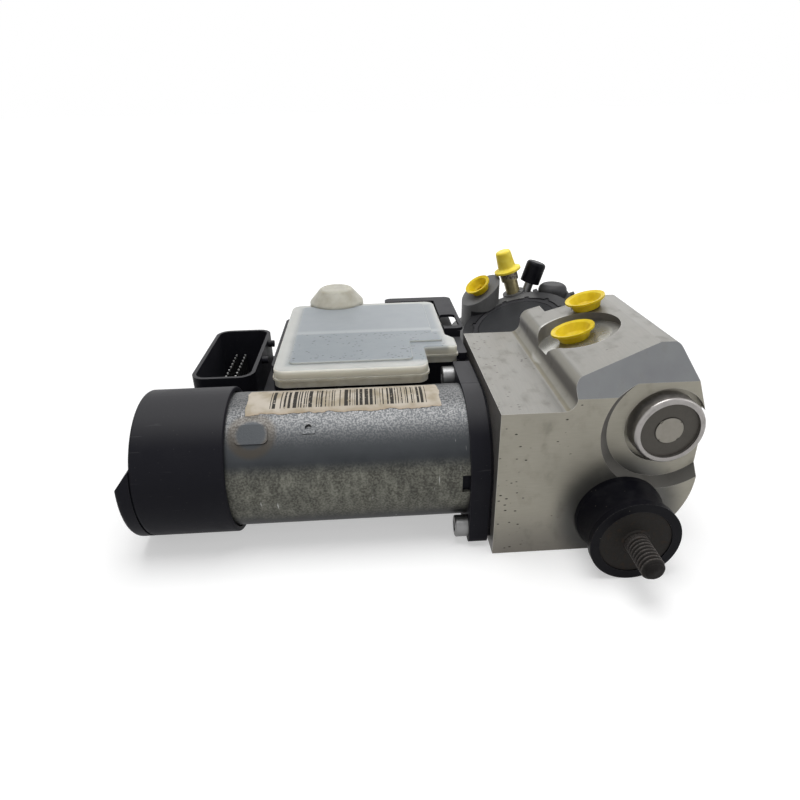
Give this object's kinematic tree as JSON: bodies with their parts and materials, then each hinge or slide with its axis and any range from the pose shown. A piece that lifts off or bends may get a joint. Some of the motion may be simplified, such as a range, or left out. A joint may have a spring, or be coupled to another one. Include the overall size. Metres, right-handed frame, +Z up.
{
  "type": "abs brake module",
  "caption": "Anti-lock brake pressure modulator: milled valve block with a pump motor, controller with open socket, fluid reservoir, capped ports and a rubber-mounted stud.",
  "frame": {"origin": "on the mounting stud's axis, where the stud leaves the front of its rubber buffer", "axes": "+X along the pump motor from its end cap to the valve block, +Y away from the stud into the module, +Z up from the block's flat bottom"},
  "size_m": [0.2503, 0.2135, 0.1018],
  "materials": {
    "can_steel": "zinc-plated, worn",
    "black_plastic": "matte moulded",
    "dark_cast": "sand-textured casting",
    "block_alloy": "milled and anodised",
    "dark_cover": "matte",
    "plug_steel": "turned",
    "screw_steel": "zinc-plated",
    "rusty_steel": "rusted",
    "spring_steel": "bright",
    "magnet": "sintered",
    "core_steel": "laminated",
    "copper": "enamelled",
    "yellow_plastic": "soft moulded",
    "milky_plastic": "translucent",
    "stem_brass": "dull",
    "rubber": "matte",
    "board": "coated",
    "paper": "aged",
    "brush_carbon": "pressed carbon",
    "bracket_steel": "black coated"
  },
  "bodies": {
    "base": {"accumulator_plug": "plug_steel", "accumulator_spring": "spring_steel", "bleed_nipple": "plug_steel", "bracket": "bracket_steel", "brush_1": "brush_carbon", "brush_2": "brush_carbon", "brush_holder": "black_plastic", "buffer_base": "rusty_steel", "circuit_board": "board", "coil_block": "copper", "connector_pins": "stem_brass", "controller_case": "black_plastic", "controller_lid": "black_plastic", "controller_seal": "rubber", "cover_band": "black_plastic", "cover_disc": "dark_cover", "end_cap": "black_plastic", "flange": "black_plastic", "flange_screw_1": "screw_steel", "flange_screw_2": "screw_steel", "flange_seal": "rubber", "front_bearing": "spring_steel", "hose_cap": "yellow_plastic", "hose_stem": "stem_brass", "label": "paper", "magnet_1": "magnet", "magnet_2": "magnet", "motor_can": "can_steel", "nipple_boot": "rubber", "plug_cover": "plug_steel", "plunger_plug_1": "plug_steel", "plunger_plug_2": "plug_steel", "plunger_spring_1": "spring_steel", "plunger_spring_2": "spring_steel", "port_plug_1": "yellow_plastic", "port_plug_2": "yellow_plastic", "port_plug_3": "yellow_plastic", "rear_bearing": "spring_steel", "rear_housing": "dark_cast", "reservoir_lid": "milky_plastic", "reservoir_tray": "milky_plastic", "rubber_buffer": "rubber", "stud": "rusty_steel", "valve_1": "spring_steel", "valve_2": "spring_steel", "valve_3": "spring_steel", "valve_4": "spring_steel", "valve_block": "block_alloy"},
    "rotor": {"rotor_core": "core_steel", "winding": "copper", "commutator": "copper", "rotor_shaft": "core_steel", "eccentric_ring": "spring_steel"},
    "plunger_a": {"plunger_1": "spring_steel"},
    "plunger_b": {"plunger_2": "spring_steel"},
    "accumulator": {"accumulator_piston": "block_alloy"},
    "valve_armature_1": {"armature_1": "core_steel"},
    "valve_armature_2": {"armature_2": "core_steel"},
    "valve_armature_3": {"armature_3": "core_steel"},
    "valve_armature_4": {"armature_4": "core_steel"}
  },
  "joints": [
    {"name": "rotor_spin", "type": "hinge", "parent": "base", "child": "rotor", "pos_m": [-0.0655, 0.058, 0.015], "axis": [1, 0, 0], "continuous": true},
    {"name": "plunger_a_stroke", "type": "slide", "parent": "base", "child": "plunger_a", "axis": [0, 1, 0], "range_m": [0, 0.0019], "stiffness_N_per_m": 500, "deforming": ["plunger_spring_1"]},
    {"name": "plunger_b_stroke", "type": "slide", "parent": "base", "child": "plunger_b", "axis": [0, 0, -1], "range_m": [0, 0.0019], "stiffness_N_per_m": 500, "deforming": ["plunger_spring_2"]},
    {"name": "accumulator_stroke", "type": "slide", "parent": "base", "child": "accumulator", "axis": [0, -1, 0], "range_m": [0, 0.006], "stiffness_N_per_m": 2000, "deforming": ["accumulator_spring"]},
    {"name": "armature_1_stroke", "type": "slide", "parent": "base", "child": "valve_armature_1", "axis": [1, 0, 0], "range_m": [0, 0.0004], "stiffness_N_per_m": 200},
    {"name": "armature_2_stroke", "type": "slide", "parent": "base", "child": "valve_armature_2", "axis": [1, 0, 0], "range_m": [0, 0.0004], "stiffness_N_per_m": 200},
    {"name": "armature_3_stroke", "type": "slide", "parent": "base", "child": "valve_armature_3", "axis": [1, 0, 0], "range_m": [0, 0.0004], "stiffness_N_per_m": 200},
    {"name": "armature_4_stroke", "type": "slide", "parent": "base", "child": "valve_armature_4", "axis": [1, 0, 0], "range_m": [0, 0.0004], "stiffness_N_per_m": 200}
  ]
}
